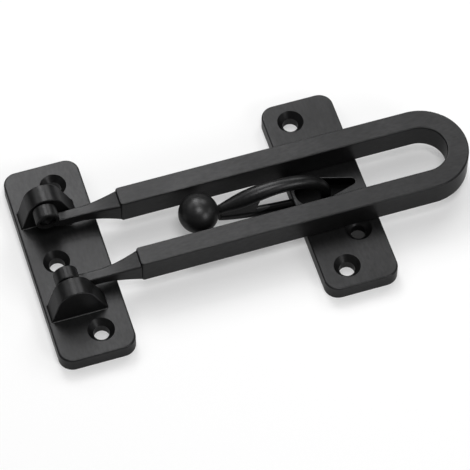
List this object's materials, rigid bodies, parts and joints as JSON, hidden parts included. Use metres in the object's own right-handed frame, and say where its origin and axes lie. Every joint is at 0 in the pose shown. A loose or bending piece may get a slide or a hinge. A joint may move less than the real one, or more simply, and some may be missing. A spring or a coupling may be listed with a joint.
{
  "type": "swing bar door guard",
  "caption": "Door guard with a hinge plate whose U-shaped bar swings over a ball-ended hook on a strike plate, so that the door opens only a little.",
  "frame": {"origin": "middle of the hinge plate's flat back", "axes": "+X along the bar from the hinge to its loop, +Y along both plates, +Z away from the wall"},
  "size_m": [0.1423, 0.0718, 0.0176],
  "materials": {
    "black_paint": "satin black paint on cast zinc",
    "pin_steel": "dark steel"
  },
  "bodies": {
    "mounted_plates": {"hinge_plate": "black_paint", "hinge_pin_far": "pin_steel", "hinge_pin_near": "pin_steel", "strike_plate": "black_paint", "catch_ball": "black_paint"},
    "bar": {"swing_bar": "black_paint"}
  },
  "joints": [
    {"name": "bar_swing", "type": "hinge", "parent": "mounted_plates", "child": "bar", "pos_m": [-0.0035, 0, 0.0134], "axis": [0, -1, 0], "range_deg": [0, 180]}
  ]
}
